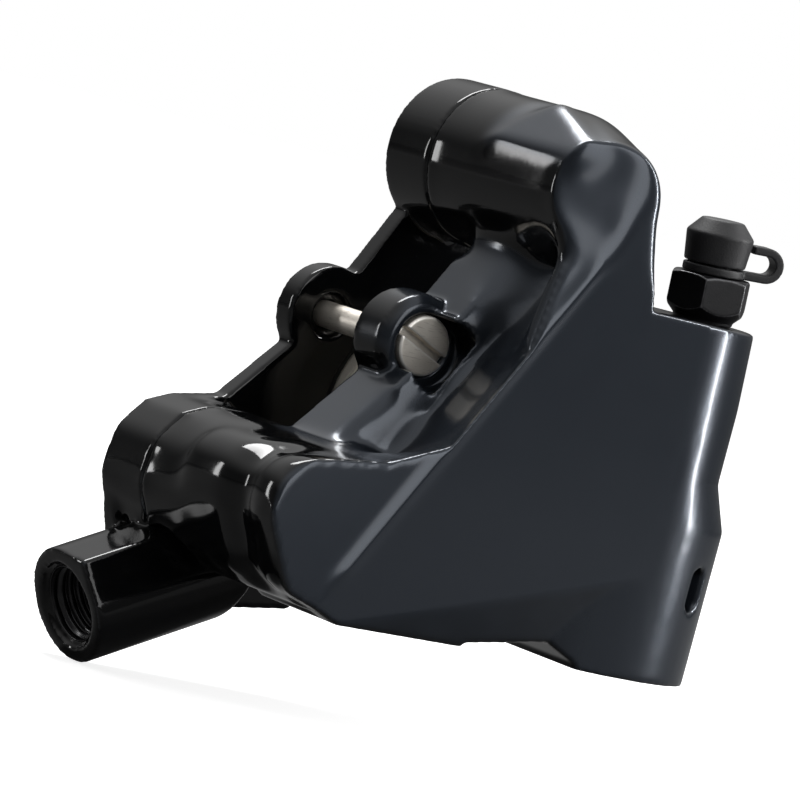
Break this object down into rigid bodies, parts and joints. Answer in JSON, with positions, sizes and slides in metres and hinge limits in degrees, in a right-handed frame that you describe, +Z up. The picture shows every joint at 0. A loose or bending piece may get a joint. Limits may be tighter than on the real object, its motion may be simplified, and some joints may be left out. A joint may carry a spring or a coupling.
{
  "type": "disc brake caliper",
  "caption": "Two-piece flat-mount bicycle disc brake caliper with opposed pistons, slotted pad axle, bleed nipple and threaded hose port.",
  "frame": {"origin": "midway between the two frame bolt holes, on the mounting face", "axes": "+X rearward to the bleed nipple, +Y inboard past the rotor, +Z up off the chainstay"},
  "size_m": [0.0682, 0.0394, 0.0687],
  "materials": {
    "body_black": "satin",
    "piston": "matte",
    "seal": "matte",
    "bolt_steel": "satin",
    "axle_steel": "satin",
    "nipple_black": "satin",
    "cap_rubber": "matte"
  },
  "bodies": {
    "caliper": {"outer_body": "body_black", "inner_body": "body_black", "outer_piston_seal": "seal", "inner_piston_seal": "seal", "crossover_seal": "seal", "passage_plug": "bolt_steel", "body_bolt_top": "bolt_steel", "body_bolt_front": "bolt_steel", "bleed_cap_strap": "cap_rubber"},
    "outboard_piston": {"outer_piston": "piston"},
    "inboard_piston": {"inner_piston": "piston"},
    "axle": {"pad_axle": "axle_steel", "pad_axle_clip": "axle_steel"},
    "nipple": {"bleed_nipple": "nipple_black"},
    "cap": {"bleed_cap": "cap_rubber"}
  },
  "joints": [
    {"name": "outer_piston_slide", "type": "slide", "parent": "caliper", "child": "outboard_piston", "axis": [0, 1, 0], "range_m": [-0.001, 0.0022]},
    {"name": "inner_piston_slide", "type": "slide", "parent": "caliper", "child": "inboard_piston", "axis": [0, -1, 0], "range_m": [-0.001, 0.0022]},
    {"name": "pad_axle_turn", "type": "hinge", "parent": "caliper", "child": "axle", "pos_m": [-0.0135, 0.01, 0.02873], "axis": [0, 1, 0], "range_deg": [0, 180]},
    {"name": "bleed_nipple_turn", "type": "hinge", "parent": "caliper", "child": "nipple", "pos_m": [0.0166, 0, 0.0384], "axis": [-0.0698, 0, 0.9976], "range_deg": [0, 180]},
    {"name": "bleed_cap_pull", "type": "slide", "parent": "caliper", "child": "cap", "axis": [-0.0698, 0, 0.9976], "range_m": [0, 0.007], "deforming": ["bleed_cap_strap"]}
  ],
  "couplings": [
    {"joint": "inner_piston_slide", "follows": "outer_piston_slide", "ratio": 1}
  ]
}
